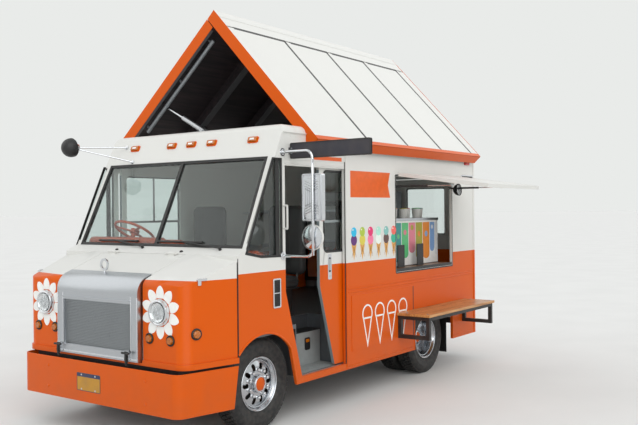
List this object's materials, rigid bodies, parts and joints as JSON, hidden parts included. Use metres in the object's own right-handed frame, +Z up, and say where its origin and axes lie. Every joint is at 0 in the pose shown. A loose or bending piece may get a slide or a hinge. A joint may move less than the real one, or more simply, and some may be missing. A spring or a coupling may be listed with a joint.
{
  "type": "ice cream truck",
  "caption": "Walk-in step van as an ice cream truck: sliding cab doors, serving hatch on struts, side table and a gabled roof with a leaf that folds flat.",
  "frame": {"origin": "centre of the box's base, on the ground", "axes": "+X forward along the truck, +Y to its left, +Z up"},
  "size_m": [5.193, 3.5578, 3.862],
  "materials": {
    "orange_paint": "gloss enamel",
    "white_paint": "gloss enamel",
    "bright_metal": "brushed and polished",
    "chrome": "polished",
    "dark_steel": "satin black chassis paint",
    "galvanised": "dull galvanised",
    "tyre": "matt",
    "rubber": "matt",
    "glass": "clear, lightly tinted",
    "amber": "moulded lens",
    "red_lens": "moulded lens",
    "wood": "varnished",
    "black_plastic": "fine texture",
    "seat_vinyl": "vinyl",
    "floor_plate": "grey enamel",
    "cast": "rough"
  },
  "bodies": {
    "body": {"left_wall": "white_paint", "right_wall": "white_paint", "roof_panel": "white_paint", "cab_front": "white_paint", "windshield_seal": "rubber", "cab_glass": "glass", "rear_wall": "white_paint", "floor": "floor_plate", "nose_shell": "white_paint", "headlamps": "chrome", "amber_lamps": "amber", "front_bumper": "orange_paint", "chassis_frame": "dark_steel", "front_axle": "dark_steel", "rear_axle": "dark_steel", "engine_block": "cast", "tank_and_exhaust": "galvanised", "rear_step": "galvanised", "tail_lamps": "red_lens", "roof_leaf_near": "white_paint", "roof_frame": "galvanised", "blade_sign": "black_plastic", "mirrors": "bright_metal", "wipers": "black_plastic", "dash": "orange_paint", "seats": "seat_vinyl", "serving_counter": "wood", "serving_cabinet": "white_paint", "menu_stands": "black_plastic", "table_top": "wood", "table_frame": "dark_steel"},
    "hood": {"hood_lid": "white_paint", "grille_surround": "bright_metal", "grille_screen": "bright_metal", "lid_fittings": "black_plastic"},
    "knuckle_left": {"knuckle_left": "cast"},
    "knuckle_right": {"knuckle_right": "cast"},
    "wheel_front_left": {"front_tyre_left": "tyre", "front_rim_left": "chrome"},
    "wheel_front_right": {"front_tyre_right": "tyre", "front_rim_right": "chrome"},
    "wheel_rear_left": {"rear_tyres_left": "tyre", "rear_rims_left": "chrome"},
    "wheel_rear_right": {"rear_tyres_right": "tyre", "rear_rims_right": "chrome"},
    "cab_door_left": {"cab_door_left": "white_paint", "door_glass_left": "glass"},
    "cab_door_right": {"cab_door_right": "white_paint", "door_glass_right": "glass"},
    "rear_door_left": {"rear_door_left": "white_paint", "rear_glass_left": "glass"},
    "rear_door_right": {"rear_door_right": "white_paint", "rear_glass_right": "glass"},
    "hatch": {"hatch": "white_paint"},
    "strut_cylinders": {"strut_cylinders": "dark_steel"},
    "strut_rods": {"strut_rods": "bright_metal"},
    "far_leaf": {"roof_leaf_far": "white_paint"},
    "actuator_cylinder": {"actuator_cylinder": "dark_steel"},
    "actuator_rod": {"actuator_rod": "bright_metal"}
  },
  "joints": [
    {"name": "steer_left", "type": "hinge", "parent": "body", "child": "knuckle_left", "pos_m": [1.6285, 0.40607, 0.396], "axis": [0, 0, 1], "range_deg": [-30, 30]},
    {"name": "steer_right", "type": "hinge", "parent": "body", "child": "knuckle_right", "pos_m": [1.6285, -1.19393, 0.396], "axis": [0, 0, 1], "range_deg": [-30, 30]},
    {"name": "wheel_front_left_spin", "type": "hinge", "parent": "knuckle_left", "child": "wheel_front_left", "pos_m": [1.6285, 0.50257, 0.4], "axis": [0, 1, 0], "continuous": true},
    {"name": "wheel_front_right_spin", "type": "hinge", "parent": "knuckle_right", "child": "wheel_front_right", "pos_m": [1.6285, -1.29043, 0.4], "axis": [0, 1, 0], "continuous": true},
    {"name": "wheel_rear_left_spin", "type": "hinge", "parent": "body", "child": "wheel_rear_left", "pos_m": [-1.3415, 0.37306, 0.4], "axis": [0, 1, 0], "continuous": true},
    {"name": "wheel_rear_right_spin", "type": "hinge", "parent": "body", "child": "wheel_rear_right", "pos_m": [-1.3415, -1.16094, 0.4], "axis": [0, 1, 0], "continuous": true},
    {"name": "cab_door_left_slide", "type": "slide", "parent": "body", "child": "cab_door_left", "axis": [1, 0, 0], "range_m": [-0.365, 0.56]},
    {"name": "cab_door_right_slide", "type": "slide", "parent": "body", "child": "cab_door_right", "axis": [1, 0, 0], "range_m": [-0.925, 0]},
    {"name": "rear_door_left_swing", "type": "hinge", "parent": "body", "child": "rear_door_left", "pos_m": [-2.4315, 0.41607, 1.565], "axis": [0, 0, -1], "range_deg": [0, 110]},
    {"name": "rear_door_right_swing", "type": "hinge", "parent": "body", "child": "rear_door_right", "pos_m": [-2.4315, -1.20393, 1.565], "axis": [0, 0, 1], "range_deg": [0, 110]},
    {"name": "hood_swing", "type": "hinge", "parent": "body", "child": "hood", "pos_m": [2.0715, -0.39393, 1.53], "axis": [0, -1, 0], "range_deg": [0, 60]},
    {"name": "hatch_swing", "type": "hinge", "parent": "body", "child": "hatch", "pos_m": [-1.1405, 0.73706, 2.262], "axis": [1, 0, 0], "range_deg": [-82, 0]},
    {"name": "strut_cylinder_swing", "type": "hinge", "parent": "body", "child": "strut_cylinders", "pos_m": [-1.1405, 0.69607, 2.131], "axis": [1, 0, 0], "range_deg": [-92, 0]},
    {"name": "strut_rod_slide", "type": "slide", "parent": "strut_cylinders", "child": "strut_rods", "axis": [0, 1, -0.0023], "range_m": [-0.162, 0]},
    {"name": "leaf_swing", "type": "hinge", "parent": "body", "child": "far_leaf", "pos_m": [-0.615, -1.37894, 2.83], "axis": [1, 0, 0], "range_deg": [-41, 0]},
    {"name": "actuator_swing", "type": "hinge", "parent": "body", "child": "actuator_cylinder", "pos_m": [0.9835, -0.64394, 2.69], "axis": [1, 0, 0], "range_deg": [0, 16]},
    {"name": "actuator_rod_slide", "type": "slide", "parent": "actuator_cylinder", "child": "actuator_rod", "axis": [0, -0.8812, 0.4728], "range_m": [-0.106, 0]}
  ],
  "couplings": [
    {"joint": "steer_right", "follows": "steer_left", "ratio": 1},
    {"joint": "strut_cylinder_swing", "follows": "hatch_swing", "ratio": 1.1015},
    {"joint": "strut_rod_slide", "follows": "hatch_swing", "m_per_rad": 0.1115},
    {"joint": "actuator_swing", "follows": "leaf_swing", "ratio": -0.35744},
    {"joint": "actuator_rod_slide", "follows": "leaf_swing", "m_per_rad": 0.14494}
  ]
}
